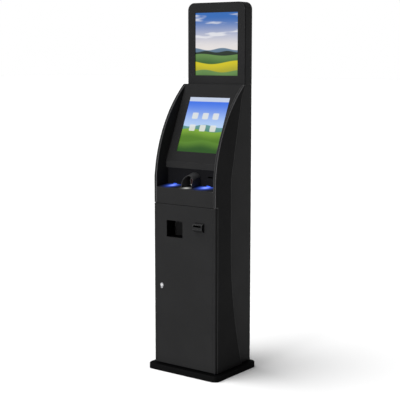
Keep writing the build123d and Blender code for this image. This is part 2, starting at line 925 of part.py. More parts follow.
y_module = y_desk_back + sheet
with BuildPart() as scanner_module:
    slab(
        -module_half, module_half, y_module, y_module + module_depth,
        desk_back_z, desk_back_z + module_height,
    )
write(scanner_module, "scanner_module")

with BuildPart() as card_module:
    slab(
        slot_opening_x - card_half, slot_opening_x + card_half, y_module, y_module + card_depth,
        slot_opening_z - card_height / 2, slot_opening_z + card_height / 2,
    )
    slab(
        slot_opening_x - slot_opening_width / 2, slot_opening_x + slot_opening_width / 2, y_module,
        y_module + card_travel, slot_opening_z - slot_opening_height / 2,
        slot_opening_z + slot_opening_height / 2, Mode.SUBTRACT,
    )
write(card_module, "card_module")


# ---------------------------------------------------------------- cooling fan
fan_size = 120
fan_depth = 25
fan_bore = 56
fan_boss = 18
fan_boss_depth = 5
fan_shaft = 2.5
fan_spoke = 8
fan_spokes = 4
spoke_root = 1
hub_radius = 20
blade_tip = 53
blade_thickness = 3
blade_depth = 14
blade_root = 1
hub_depth = blade_depth + 2 * blade_root
blade_twist = 35
blades = 7
y_fan_back = y_back - back_sheet
fan_plane = Plane.XZ.offset(-y_fan_back)

with BuildPart() as fan_housing:
    with BuildSketch(fan_plane) as face:
        with Locations((0, vent_high_z)):
            Rectangle(fan_size, fan_size)
            Circle(fan_bore, mode=Mode.SUBTRACT)
    extrude(face.sketch, amount=fan_depth)
    with BuildSketch(fan_plane) as spider:
        with Locations((0, vent_high_z)):
            Circle(fan_boss)
            with PolarLocations(0, fan_spokes):
                with Locations((fan_bore / 2, 0)):
                    Rectangle(fan_bore + spoke_root, fan_spoke)
    extrude(spider.sketch, amount=fan_boss_depth)
    rod((0, y_fan_back - fan_boss_depth, vent_high_z), (0, -1, 0), fan_shaft, fan_depth - fan_boss_depth)
write(fan_housing, "fan_housing")

y_hub = y_fan_back - fan_boss_depth - cash_gap
with BuildPart() as fan_rotor:
    with BuildSketch(fan_plane.offset(fan_boss_depth + cash_gap)) as hub:
        with Locations((0, vent_high_z)):
            Circle(hub_radius)
    extrude(hub.sketch, amount=hub_depth)
    for blade in range(blades):
        turn = 360 * blade / blades
        hub_plane = Plane(
            origin=(0, y_hub - hub_depth / 2, vent_high_z),
            x_dir=Vector(1, 0, 0).rotate(Axis.Y, turn),
            z_dir=Vector(0, 0, 1).rotate(Axis.Y, turn),
        )
        with Locations(hub_plane.location):
            with Locations(Location((hub_radius - blade_root, 0, 0), (blade_twist, 0, 0))):
                Box(
                    blade_tip - hub_radius + blade_root, blade_depth, blade_thickness,
                    align=(Align.MIN, Align.CENTER, Align.CENTER),
                )
    rod((0, y_fan_back, vent_high_z), (0, -1, 0), fan_shaft + running_clearance, fan_depth, Mode.SUBTRACT)
write(fan_rotor, "fan_rotor")


# ---------------------------------------------------------------- mains inlet and switch
inlet_depth = 30
inlet_wall = 3
inlet_hollow = 20
blade_width = 2
blade_height = 4
blade_pitch = 14
blade_stagger = 7
switch_wall = 2
switch_depth = 24
rocker_gap = 0.4
rocker_tilt = 7
rocker_pin = 1.5
rocker_depth = 8
rocker_set = 7
y_rocker = y_back - rocker_set

with BuildPart() as mains_inlet:
    slab(
        inlet_x - inlet_width / 2, inlet_x + inlet_width / 2, y_back - inlet_depth, y_back,
        inlet_z - inlet_height / 2, inlet_z + inlet_height / 2,
    )
    slab(
        inlet_x - inlet_width / 2 + inlet_wall, inlet_x + inlet_width / 2 - inlet_wall,
        y_back - inlet_hollow, y_back, inlet_z - inlet_height / 2 + inlet_wall,
        inlet_z + inlet_height / 2 - inlet_wall, Mode.SUBTRACT,
    )
    for x_blade, z_blade in (
        (inlet_x - blade_pitch / 2, inlet_z - blade_stagger / 2),
        (inlet_x, inlet_z + blade_stagger / 2),
        (inlet_x + blade_pitch / 2, inlet_z - blade_stagger / 2),
    ):
        slab(
            x_blade - blade_width / 2, x_blade + blade_width / 2, y_back - inlet_hollow, y_back - inlet_wall,
            z_blade - blade_height / 2, z_blade + blade_height / 2,
        )
write(mains_inlet, "mains_inlet")

half_switch = switch_width / 2 - switch_wall
with BuildPart() as switch_body:
    slab(
        switch_x - switch_width / 2, switch_x + switch_width / 2, y_back - switch_depth, y_back,
        inlet_z - switch_height / 2, inlet_z + switch_height / 2,
    )
    slab(
        switch_x - half_switch, switch_x + half_switch, y_back - switch_depth + switch_wall, y_back,
        inlet_z - switch_height / 2 + switch_wall, inlet_z + switch_height / 2 - switch_wall, Mode.SUBTRACT,
    )
    rod(
        (switch_x - half_switch, y_rocker, inlet_z), (1, 0, 0), rocker_pin, 2 * half_switch,
    )
write(switch_body, "switch_body")

# The rocker is a tilted block on the pin: its top lies flush while its foot stands in.
rocker_swing = 1
rocker_half = switch_height / 2 - switch_wall - rocker_gap - rocker_swing
with BuildPart() as power_rocker:
    with BuildSketch(Plane.YZ.offset(switch_x - half_switch + rocker_gap)) as profile:
        with Locations((y_rocker, inlet_z)):
            with Locations(Location((0, 0), rocker_tilt)):
                Rectangle(rocker_depth, 2 * rocker_half)
    extrude(profile.sketch, amount=2 * (half_switch - rocker_gap))
    rod(
        (switch_x - half_switch, y_rocker, inlet_z), (1, 0, 0), rocker_pin + running_clearance,
        2 * half_switch, Mode.SUBTRACT,
    )
write(power_rocker, "power_rocker")


# ---------------------------------------------------------------- screws of the back panel
with BuildPart() as back_screws:
    for place in screw_places:
        rod(place, (0, 1, 0), screw_radius, back_sheet)
write(back_screws, "back_screws")
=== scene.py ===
import json
from math import cos, e, pi, radians, sin

import bmesh
import bpy
import numpy as np
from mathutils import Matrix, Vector


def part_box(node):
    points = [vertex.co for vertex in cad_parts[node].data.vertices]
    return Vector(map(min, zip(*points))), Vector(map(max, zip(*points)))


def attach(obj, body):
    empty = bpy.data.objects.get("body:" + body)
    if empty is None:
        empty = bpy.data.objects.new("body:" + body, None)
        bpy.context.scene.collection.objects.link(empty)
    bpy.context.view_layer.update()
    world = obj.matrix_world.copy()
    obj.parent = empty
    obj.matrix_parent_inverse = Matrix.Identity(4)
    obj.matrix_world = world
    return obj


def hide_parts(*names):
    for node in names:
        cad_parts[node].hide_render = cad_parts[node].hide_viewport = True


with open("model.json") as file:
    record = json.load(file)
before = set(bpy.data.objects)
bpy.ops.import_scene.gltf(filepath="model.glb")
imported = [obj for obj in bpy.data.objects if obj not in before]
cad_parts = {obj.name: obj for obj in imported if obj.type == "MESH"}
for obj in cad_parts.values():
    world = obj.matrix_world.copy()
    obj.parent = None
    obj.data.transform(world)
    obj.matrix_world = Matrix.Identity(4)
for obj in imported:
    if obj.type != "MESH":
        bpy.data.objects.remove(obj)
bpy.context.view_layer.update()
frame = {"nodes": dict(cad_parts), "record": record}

# ---------------------------------------------------------------- camera, floor and light
# A bright product studio: a pale floor that runs out to white, one broad soft light from high
# on the left, a level one from straight in front, and a pale sky all round.
scene = bpy.context.scene
scene.view_settings.view_transform = "Standard"
camera_place = (3.2762, -4.4130, 1.6956)
camera_turn = (radians(90 - 7.95), 0, radians(36.715))
camera_data = bpy.data.cameras.new("camera")
camera_data.lens = 92.735
camera_data.sensor_width = 36
camera = bpy.data.objects.new("camera", camera_data)
camera.location = camera_place
camera.rotation_euler = camera_turn
scene.collection.objects.link(camera)
scene.camera = camera

sky_seen = (1.0, 1.0, 1.0, 1)
sky_strength = 0.35
world = bpy.data.worlds.new("studio")
scene.world = world
world.use_nodes = True
sky = world.node_tree
sky.nodes.clear()
sky_out = sky.nodes.new("ShaderNodeOutputWorld")
seen = sky.nodes.new("ShaderNodeBackground")
seen.inputs["Color"].default_value = sky_seen
lit = sky.nodes.new("ShaderNodeBackground")
lit.inputs["Color"].default_value = sky_seen
lit.inputs["Strength"].default_value = sky_strength
path = sky.nodes.new("ShaderNodeLightPath")
chooser = sky.nodes.new("ShaderNodeMixShader")
sky.links.new(path.outputs["Is Camera Ray"], chooser.inputs[0])
sky.links.new(lit.outputs[0], chooser.inputs[1])
sky.links.new(seen.outputs[0], chooser.inputs[2])
sky.links.new(chooser.outputs[0], sky_out.inputs["Surface"])


def far_light(name, heading, strength, spread):
    """A far soft lamp: light that travels along a heading, from a disc of the spread's width."""
    data = bpy.data.lights.new(name, "SUN")
    data.energy = strength
    data.angle = radians(spread)
    lamp = bpy.data.objects.new(name, data)
    lamp.rotation_euler = Vector(heading).to_track_quat("-Z", "Y").to_euler()
    scene.collection.objects.link(lamp)


high_heading, high_strength, high_spread = (0.42, 0.34, -1), 3.1, 50
front_heading, front_strength, front_spread = (0.04, 1, -0.03), 5.8, 12
far_light("high_light", high_heading, high_strength, high_spread)
far_light("front_light", front_heading, front_strength, front_spread)

floor_half = 60.0
floor_steps = 24
floor_side = np.linspace(-floor_half, floor_half, floor_steps + 1)
floor_x, floor_y = np.meshgrid(floor_side, floor_side)
floor_points = np.stack([floor_x, floor_y, np.zeros_like(floor_x)], -1).reshape(-1, 3)
floor_row = floor_steps + 1
floor_corner = (np.arange(floor_steps)[:, None] * floor_row + np.arange(floor_steps)).ravel()
floor_faces = np.stack(
    [floor_corner, floor_corner + 1, floor_corner + floor_row + 1, floor_corner + floor_row], -1
)
floor_mesh = bpy.data.meshes.new("studio_floor")
floor_mesh.from_pydata(floor_points.tolist(), [], floor_faces.tolist())
floor = bpy.data.objects.new("studio_floor", floor_mesh)
scene.collection.objects.link(floor)
floor_paint = bpy.data.materials.new("floor_paint")
floor_paint.use_nodes = True
floor_shader = floor_paint.node_tree.nodes["Principled BSDF"]
floor_shader.inputs["Base Color"].default_value = (0.93, 0.93, 0.93, 1)
floor_shader.inputs["Roughness"].default_value = 0.6
floor_shader.inputs["Specular IOR Level"].default_value = 0.1
floor_mesh.materials.append(floor_paint)

# ---------------------------------------------------------------- painted base plate
# The foot is a thick steel slab, edges broken and powder coated black. Its shape is the CAD
# node's, with every sharp edge rounded a little and a paler, glossier coat on the rounds: rubbed
# wear, and a painted highlight along each edge.
body_of_node = {
    node: body for body, nodes in frame["record"]["behaviour"]["bodies"].items() for node in nodes
}


def powder_group():
    """Powder coat as a node group.

    Color is Paint times a broad mottle of plus or minus Mottle, Roughness is Gloss plus the fine
    grain's share of Spread, and Height is the orange-peel grain of about Grain cells a metre.
    """
    group = bpy.data.node_groups.new("powder_coat", "ShaderNodeTree")
    face = group.interface
    face.new_socket("Vector", in_out="INPUT", socket_type="NodeSocketVector")
    face.new_socket("Paint", in_out="INPUT", socket_type="NodeSocketColor")
    for name, value in (("Mottle", 0.1), ("Gloss", 0.5), ("Spread", 0.12), ("Grain", 700.0)):
        face.new_socket(name, in_out="INPUT", socket_type="NodeSocketFloat").default_value = value
    face.new_socket("Color", in_out="OUTPUT", socket_type="NodeSocketColor")
    face.new_socket("Roughness", in_out="OUTPUT", socket_type="NodeSocketFloat")
    face.new_socket("Height", in_out="OUTPUT", socket_type="NodeSocketFloat")
    nodes, links = group.nodes, group.links
    given = nodes.new("NodeGroupInput")
    out = nodes.new("NodeGroupOutput")
    grain = nodes.new("ShaderNodeTexNoise")
    grain.inputs["Detail"].default_value = 3
    broad = nodes.new("ShaderNodeTexNoise")
    broad.inputs["Scale"].default_value = 5
    broad.inputs["Detail"].default_value = 4
    links.new(given.outputs["Vector"], grain.inputs["Vector"])
    links.new(given.outputs["Grain"], grain.inputs["Scale"])
    links.new(given.outputs["Vector"], broad.inputs["Vector"])
    low = nodes.new("ShaderNodeMath")
    low.operation = "SUBTRACT"
    low.inputs[0].default_value = 1
    links.new(given.outputs["Mottle"], low.inputs[1])
    high = nodes.new("ShaderNodeMath")
    high.operation = "ADD"
    high.inputs[0].default_value = 1
    links.new(given.outputs["Mottle"], high.inputs[1])
    shade = nodes.new("ShaderNodeMapRange")
    shade.inputs["From Min"].default_value = 0.3
    shade.inputs["From Max"].default_value = 0.7
    links.new(broad.outputs["Fac"], shade.inputs["Value"])
    links.new(low.outputs[0], shade.inputs["To Min"])
    links.new(high.outputs[0], shade.inputs["To Max"])
    tint = nodes.new("ShaderNodeVectorMath")
    tint.operation = "SCALE"
    links.new(given.outputs["Paint"], tint.inputs[0])
    links.new(shade.outputs[0], tint.inputs["Scale"])
    rough = nodes.new("ShaderNodeMath")
    rough.operation = "MULTIPLY_ADD"
    links.new(grain.outputs["Fac"], rough.inputs[0])
    links.new(given.outputs["Spread"], rough.inputs[1])
    links.new(given.outputs["Gloss"], rough.inputs[2])
    links.new(tint.outputs[0], out.inputs["Color"])
    links.new(rough.outputs[0], out.inputs["Roughness"])
    links.new(grain.outputs["Fac"], out.inputs["Height"])
    return group


powder = powder_group()


def coated(name, paint, gloss=0.42, mottle=0.08, grain=700.0, bump=0.06, specular=0.14, metallic=0.0):
    """A Principled material whose colour, roughness and bump come from the powder group."""
    material = bpy.data.materials.new(name)
    material.use_nodes = True
    nodes, links = material.node_tree.nodes, material.node_tree.links
    shader = nodes["Principled BSDF"]
    place = nodes.new("ShaderNodeTexCoord")
    film = nodes.new("ShaderNodeGroup")
    film.node_tree = powder
    film.inputs["Paint"].default_value = (*paint, 1)
    film.inputs["Gloss"].default_value = gloss
    film.inputs["Mottle"].default_value = mottle
    film.inputs["Grain"].default_value = grain
    relief = nodes.new("ShaderNodeBump")
    relief.inputs["Strength"].default_value = bump
    relief.inputs["Distance"].default_value = 0.0006
    links.new(place.outputs["Object"], film.inputs["Vector"])
    links.new(film.outputs["Color"], shader.inputs["Base Color"])
    links.new(film.outputs["Roughness"], shader.inputs["Roughness"])
    links.new(film.outputs["Height"], relief.inputs["Height"])
    links.new(relief.outputs[0], shader.inputs["Normal"])
    shader.inputs["Specular IOR Level"].default_value = specular
    shader.inputs["Metallic"].default_value = metallic
    return material


def soften(node, width, face_material, edge_material):
    """Stands for a CAD node with a copy whose sharp edges are rounded.

    The copy's triangles are welded, its flat faces joined, and a Bevel of the given width rounds
    each edge that turns more than 30 degrees. The rounds take the edge material, which is paler:
    rubbed wear, and a painted highlight along the edge.
    """
    weld_reach, flat_turn, sharp_turn = 1e-6, radians(0.5), radians(30)
    mesh = frame["nodes"][node].data.copy()
    shape = bmesh.new()
    shape.from_mesh(mesh)
    bmesh.ops.remove_doubles(shape, verts=shape.verts, dist=weld_reach)
    bmesh.ops.dissolve_limit(shape, angle_limit=flat_turn, verts=shape.verts, edges=shape.edges)
    shape.to_mesh(mesh)
    shape.free()
    mesh.materials.clear()
    mesh.materials.append(face_material)
    mesh.materials.append(edge_material)
    mesh.polygons.foreach_set("material_index", np.zeros(len(mesh.polygons), dtype=np.int32))
    mesh.polygons.foreach_set("use_smooth", np.ones(len(mesh.polygons), dtype=bool))
    mesh.set_sharp_from_angle(angle=sharp_turn)
    piece = bpy.data.objects.new(f"{node}_finish", mesh)
    scene.collection.objects.link(piece)
    rounding = piece.modifiers.new("edges", "BEVEL")
    rounding.width = width
    rounding.segments = 2
    rounding.limit_method = "ANGLE"
    rounding.angle_limit = sharp_turn
    rounding.use_clamp_overlap = True
    # The rounds get the paler edge material: rubbed wear and a painted highlight.
    rounding.material = 1
    rounding.harden_normals = True
    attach(piece, body_of_node[node])
    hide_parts(node)
    return piece


base_black = coated("base_black", (0.0016, 0.0016, 0.0017), gloss=0.55, specular=0.02)
base_edge = coated("base_edge", (0.0024, 0.0024, 0.0026), gloss=0.5, specular=0.03)
base_plate_round = 0.0015
soften("base_plate", base_plate_round, base_black, base_edge)

# ---------------------------------------------------------------- folded sheet-metal body
# Door, fascia, desk, recess and side cheeks are folded steel sheet, powder coated in near black.
# The cheeks are a shade darker than the column that they stand against.
body_black = coated("body_black", (0.0106, 0.0106, 0.0108), gloss=0.5, specular=0.015)
body_edge = coated("body_edge", (0.0125, 0.0125, 0.0128), gloss=0.45, specular=0.06)
# The recess wall's coat is about a quarter as bright as the body's: painted shade for the shadow under
# the screen.
recess_black_painted_shade = coated("recess_black_painted_shade", (0.0026, 0.0026, 0.0032), gloss=0.5, specular=0.03)
# The hood's coat is paler and glossier than the body's; the paler colour is painted light for its
# brightly lit top.
hood_black_painted_light = coated("hood_black_painted_light", (0.018, 0.018, 0.0192), gloss=0.36, specular=0.22)
# The cheek rounds are much paler than the cheeks: a painted highlight down their front edges, besides
# wear.
cheek_edge = coated("cheek_edge", (0.028, 0.028, 0.029), gloss=0.4, specular=0.15)
column_black = coated("column_black", (0.0155, 0.0155, 0.0158), gloss=0.5, specular=0.06)
column_edge = coated("column_edge", (0.020, 0.020, 0.0205), gloss=0.42, specular=0.1)
fold = 0.0012
for node in ("door_panel", "front_fascia", "screen_chin", "deck_plate"):
    soften(node, fold, body_black, body_edge)
pressed_round = fold / 4
column_fold = fold / 2
cheek_round = 0.0035
# The recess wall takes the painted-shade coat.
soften("recess_wall", pressed_round, recess_black_painted_shade, recess_black_painted_shade)
soften("centre_hood", fold, hood_black_painted_light, body_edge)
for node in ("cheek_left", "cheek_right"):
    soften(node, cheek_round, body_black, cheek_edge)
for node in ("column_left", "column_right", "back_panel", "column_top"):
    soften(node, column_fold, column_black, column_edge)
for node in ("display_housing", "display_cover"):
    soften(node, fold, column_black, column_edge)

# ---------------------------------------------------------------- desk with its lit patches
# The desk is the same sheet. The soft patch of light that each lamp under the recess wall throws
# forward over it is painted light, glowing in the desk's coat: blue on the left and on the right, white
# out of the hood's mouth.
desk_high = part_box("desk")[1]
lamp_low, lamp_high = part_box("side_lamps")
hood_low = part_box("centre_hood")[0]
desk_paint = coated("desk_paint", (0.0098, 0.0098, 0.0100), gloss=0.5, specular=0.02)
desk_tree = desk_paint.node_tree
desk_place = desk_tree.nodes["Texture Coordinate"].outputs["Object"]


def painted_light_patch(centre, half_width, half_length, colour, core):
    """Adds the colour of one painted patch of light on the desk and returns its socket.

    With r the distance from the centre, measured in half widths along X and half lengths along Y,
    the light is g = exp(-r squared), and its colour is the patch's own times g plus the paler
    core times g cubed.
    """
    nodes, links = desk_tree.nodes, desk_tree.links
    place = nodes.new("ShaderNodeMapping")
    place.vector_type = "TEXTURE"
    place.inputs["Location"].default_value = (*centre, desk_high.z)
    place.inputs["Scale"].default_value = (half_width, half_length, 1)
    links.new(desk_place, place.inputs["Vector"])
    reach = nodes.new("ShaderNodeVectorMath")
    reach.operation = "DOT_PRODUCT"
    links.new(place.outputs[0], reach.inputs[0])
    links.new(place.outputs[0], reach.inputs[1])
    strength = nodes.new("ShaderNodeMath")
    strength.operation = "POWER"
    strength.inputs[0].default_value = 1 / e
    links.new(reach.outputs["Value"], strength.inputs[1])
    cube = nodes.new("ShaderNodeMath")
    cube.operation = "POWER"
    cube.inputs[1].default_value = 3
    links.new(strength.outputs[0], cube.inputs[0])
    outer = nodes.new("ShaderNodeVectorMath")
    outer.operation = "SCALE"
    outer.inputs[0].default_value = colour
    links.new(strength.outputs[0], outer.inputs["Scale"])
    inner = nodes.new("ShaderNodeVectorMath")
    inner.operation = "MULTIPLY_ADD"
    inner.inputs[0].default_value = core
    links.new(cube.outputs[0], inner.inputs[1])
    links.new(outer.outputs[0], inner.inputs[2])
    return inner.outputs[0]


# Colours of the painted light patches on the desk.
blue = (0.03, 0.13, 1.0)
blue_core = (0.26, 0.30, 0.40)
white = (0.26, 0.26, 0.25)
white_core = (0.42, 0.42, 0.40)

# Each painted patch of light lies a throw in front of its lamp. The left patch also leans in towards
# the middle and the right one back towards the wall. The white one is centred just inside the hood's
# mouth.
half_lens = 0.012
left_lamp_x = lamp_low.x + half_lens
right_lamp_x = lamp_high.x - half_lens
lean_left = 0.011
lean_right = 0.006
blue_throw = 0.031
y_blue = lamp_low.y - blue_throw
mouth_inset = 0.003
y_white = hood_low.y + mouth_inset
x_white = -0.004
left_reach = (0.028, 0.036)
right_reach = (0.034, 0.038)
white_reach = (0.025, 0.018)
patches = [
    painted_light_patch((left_lamp_x + lean_left, y_blue), *left_reach, blue, blue_core),
    painted_light_patch((right_lamp_x, y_blue + lean_right), *right_reach, blue, blue_core),
    painted_light_patch((x_white, y_white), *white_reach, white, white_core),
]
total = patches[0]
for patch in patches[1:]:
    both = desk_tree.nodes.new("ShaderNodeVectorMath")
    desk_tree.links.new(total, both.inputs[0])
    desk_tree.links.new(patch, both.inputs[1])
    total = both.outputs[0]
# The patches glow as the desk's emission: painted light, not light from the lamps.
desk_shader = desk_tree.nodes["Principled BSDF"]
desk_tree.links.new(total, desk_shader.inputs["Emission Color"])
desk_shader.inputs["Emission Strength"].default_value = 1
soften("desk", fold, desk_paint, body_edge)

# ---------------------------------------------------------------- lamps under the recess wall
# Small clear lenses with a lit diode row behind them, pressed into the foot of the wall.


def lit_lens(name, colour, strength, wave_scale=41.38):
    """A glossy lens that glows, brighter where each diode sits behind it, in waves along X.

    The wave texture turns by 20 radians a metre times its scale, so the diodes are 7.6 mm apart.
    """
    material = bpy.data.materials.new(name)
    material.use_nodes = True
    nodes, links = material.node_tree.nodes, material.node_tree.links
    shader = nodes["Principled BSDF"]
    place = nodes.new("ShaderNodeTexCoord")
    wave = nodes.new("ShaderNodeTexWave")
    wave.inputs["Scale"].default_value = wave_scale
    wave.inputs["Distortion"].default_value = 0.4
    ramp = nodes.new("ShaderNodeValToRGB")
    ramp.color_ramp.elements[0].color = tuple(0.45 * c for c in colour) + (1,)
    ramp.color_ramp.elements[1].color = (*colour, 1)
    links.new(place.outputs["Object"], wave.inputs["Vector"])
    links.new(wave.outputs["Fac"], ramp.inputs["Fac"])
    links.new(ramp.outputs["Color"], shader.inputs["Emission Color"])
    links.new(ramp.outputs["Color"], shader.inputs["Base Color"])
    shader.inputs["Emission Strength"].default_value = strength
    shader.inputs["Roughness"].default_value = 0.15
    return material


blue_lit = lit_lens("blue_lit", (0.03, 0.10, 0.7), 0.5)
white_lit = lit_lens("white_lit", (0.5, 0.5, 0.48), 0.4)
side_lamps_round = 0.0006
soften("side_lamps", side_lamps_round, blue_lit, blue_lit)
lamp_centre_round = 0.0006
soften("lamp_centre", lamp_centre_round, white_lit, white_lit)

# ---------------------------------------------------------------- screen bezels
# The frames of both screens are folded sheet too, in a slightly greyer coat.
bezel_grey = coated("bezel_grey", (0.0082, 0.0082, 0.0084), gloss=0.5, specular=0.03)
bezel_edge = coated("bezel_edge", (0.012, 0.012, 0.0122), gloss=0.45, specular=0.05)
soften("touch_bezel", fold, bezel_grey, bezel_edge)
soften("display_bezel", fold, bezel_grey, bezel_edge)

# ---------------------------------------------------------------- lit screens
# Each screen is a sheet of toughened glass with the lit picture of the display behind it. A
# picture is worked out in colour from plain shapes and cloudy noise, and holds no lettering.


def cloudy(across, up, cells, seed, octaves=4):
    """Smooth noise from 0 to 1 over a grid of places.

    Random values on a lattice are joined by smoothstep curves along both ways. Each octave has
    twice the cells of the last one and half its weight.
    """
    random = np.random.default_rng(seed)
    total, weight = np.zeros(np.broadcast(across, up).shape), 0.0
    for octave in range(octaves):
        columns, rows = cells[0] * 2**octave, cells[1] * 2**octave
        lattice = random.random((rows + 2, columns + 2))
        x, y = across * columns, up * rows
        i, j = np.floor(x).astype(int), np.floor(y).astype(int)
        fx, fy = x - i, y - j
        fx, fy = fx * fx * (3 - 2 * fx), fy * fy * (3 - 2 * fy)
        low = lattice[j, i] * (1 - fx) + lattice[j, i + 1] * fx
        high = lattice[j + 1, i] * (1 - fx) + lattice[j + 1, i + 1] * fx
        total = total + (low * (1 - fy) + high * fy) / 2**octave
        weight += 1 / 2**octave
    return total / weight


def step(start, stop, value):
    """0 below the start, 1 above the stop, and a smooth rise between them."""
    share = np.clip((value - start) / (stop - start), 0, 1)
    return share * share * (3 - 2 * share)


def over(colour, paint, cover):
    """The colours with a paint laid over them by its cover from 0 to 1."""
    return colour + (np.asarray(paint) - colour) * np.expand_dims(cover, -1)


def between(first, second, share):
    """The colours from a first to a second by a share from 0 to 1 at each place."""
    return over(np.zeros((*share.shape, 3)) + first, second, share)


def banded(across, up, low_sky, high_sky, bands):
    """A sky that deepens upwards, with low rolling bands over its foot, each before the last.

    across and up run from 0 to 1 over the glass. A band is its height, its swing, its waves
    across the glass, where its first wave starts, and its colours at the crest and below.
    """
    sky_foot, sky_top = 0.40, 0.95
    band_depth, crest_blur = 0.16, 0.004
    colour = between(low_sky, high_sky, step(sky_foot, sky_top, up))
    for height, swing, waves, start, crest_colour, foot_colour in bands:
        crest = height + swing * np.sin(2 * pi * (waves * across + start))
        body = between(crest_colour, foot_colour, step(0.0, band_depth, crest - up))
        colour = colour + (body - colour) * step(crest_blur, -crest_blur, up - crest)[..., None]
    return colour


def evening_bands(across, up):
    """The upper picture: an evening sky with thin level streaks over five plain bands."""
    warm_low, deep_high = (0.80, 0.76, 0.74), (0.035, 0.15, 0.48)
    pale_streak = (0.86, 0.86, 0.88)
    dusk_blue, night_blue = (0.13, 0.21, 0.30), (0.07, 0.12, 0.19)
    wood_crest, wood_foot = (0.020, 0.035, 0.020), (0.012, 0.022, 0.012)
    leaf_crest, leaf_foot = (0.13, 0.26, 0.07), (0.045, 0.13, 0.025)
    gold_crest, gold_foot = (0.66, 0.56, 0.012), (0.40, 0.38, 0.02)
    bands = [
        (0.42, 0.018, 1.5, 0.30, dusk_blue, night_blue),
        (0.38, 0.012, 2.0, 0.75, wood_crest, wood_foot),
        (0.33, 0.015, 1.0, 0.10, leaf_crest, leaf_foot),
        (0.21, 0.030, 0.8, 0.45, gold_crest, gold_foot),
        (0.07, 0.020, 1.2, 0.00, leaf_crest, leaf_foot),
    ]
    streak_cells, streak_seed, streak_cover = (2, 18), 11, 0.75
    thin_cloud, thick_cloud = 0.50, 0.72
    clear_below, streaked_above = 0.46, 0.56
    colour = banded(across, up, warm_low, deep_high, bands)
    cloud = step(thin_cloud, thick_cloud, cloudy(across, up, streak_cells, streak_seed))
    streaks = cloud * step(clear_below, streaked_above, up)
    return over(colour, pale_streak, streak_cover * streaks)


def menu_bands(across, up):
    """The lower picture: plain bands behind a menu of six blank tiles and a title bar."""
    pale_low, deep_high = (0.50, 0.68, 0.95), (0.045, 0.17, 0.80)
    teal_crest, teal_foot = (0.12, 0.32, 0.30), (0.07, 0.22, 0.16)
    leaf_crest, leaf_foot = (0.21, 0.40, 0.035), (0.085, 0.21, 0.012)
    moss_crest, moss_foot = (0.10, 0.24, 0.02), (0.022, 0.09, 0.008)
    bands = [
        (0.48, 0.022, 1.3, 0.55, teal_crest, teal_foot),
        (0.40, 0.026, 0.9, 0.05, leaf_crest, leaf_foot),
        (0.20, 0.022, 1.1, 0.60, moss_crest, moss_foot),
    ]
    tile_colour, title_colour = (0.80, 0.82, 0.78), (0.70, 0.76, 0.80)
    tile_columns, tile_rows = (0.24, 0.50, 0.76), (0.66, 0.44)
    half_wide, half_high, squareness = 0.075, 0.058, 6
    tile_cover, outside, inside = 0.85, 1.1, 0.9
    title_foot, title_blur, title_cover = 0.92, 0.006, 0.8
    colour = banded(across, up, pale_low, deep_high, bands)
    for middle_across in tile_columns:
        for middle_up in tile_rows:
            from_middle = np.abs((across - middle_across) / half_wide) ** squareness
            from_middle = from_middle + np.abs((up - middle_up) / half_high) ** squareness
            colour = over(colour, tile_colour, tile_cover * step(outside, inside, from_middle))
    title = step(title_foot, title_foot + title_blur, up)
    return over(colour, title_colour, title_cover * title)


def glass_black(name):
    """Toughened glass over a lit display: a black body that shows the picture as its own light.

    The light is the Picture attribute times a faint unevenness of the lamps behind it.
    """
    material = bpy.data.materials.new(name)
    material.use_nodes = True
    nodes, links = material.node_tree.nodes, material.node_tree.links
    shader = nodes["Principled BSDF"]
    picture = nodes.new("ShaderNodeAttribute")
    picture.attribute_name = "Picture"
    place = nodes.new("ShaderNodeTexCoord")
    uneven = nodes.new("ShaderNodeTexNoise")
    uneven.inputs["Scale"].default_value = 9
    level = nodes.new("ShaderNodeMapRange")
    level.inputs["To Min"].default_value = 0.9
    level.inputs["To Max"].default_value = 1.02
    lit = nodes.new("ShaderNodeVectorMath")
    lit.operation = "SCALE"
    links.new(place.outputs["Object"], uneven.inputs["Vector"])
    links.new(uneven.outputs["Fac"], level.inputs["Value"])
    links.new(picture.outputs["Color"], lit.inputs[0])
    links.new(level.outputs[0], lit.inputs["Scale"])
    links.new(lit.outputs[0], shader.inputs["Emission Color"])
    shader.inputs["Emission Strength"].default_value = 1
    shader.inputs["Base Color"].default_value = (0.004, 0.004, 0.005, 1)
    shader.inputs["Roughness"].default_value = 0.09
    shader.inputs["Specular IOR Level"].default_value = 0.25
    return material


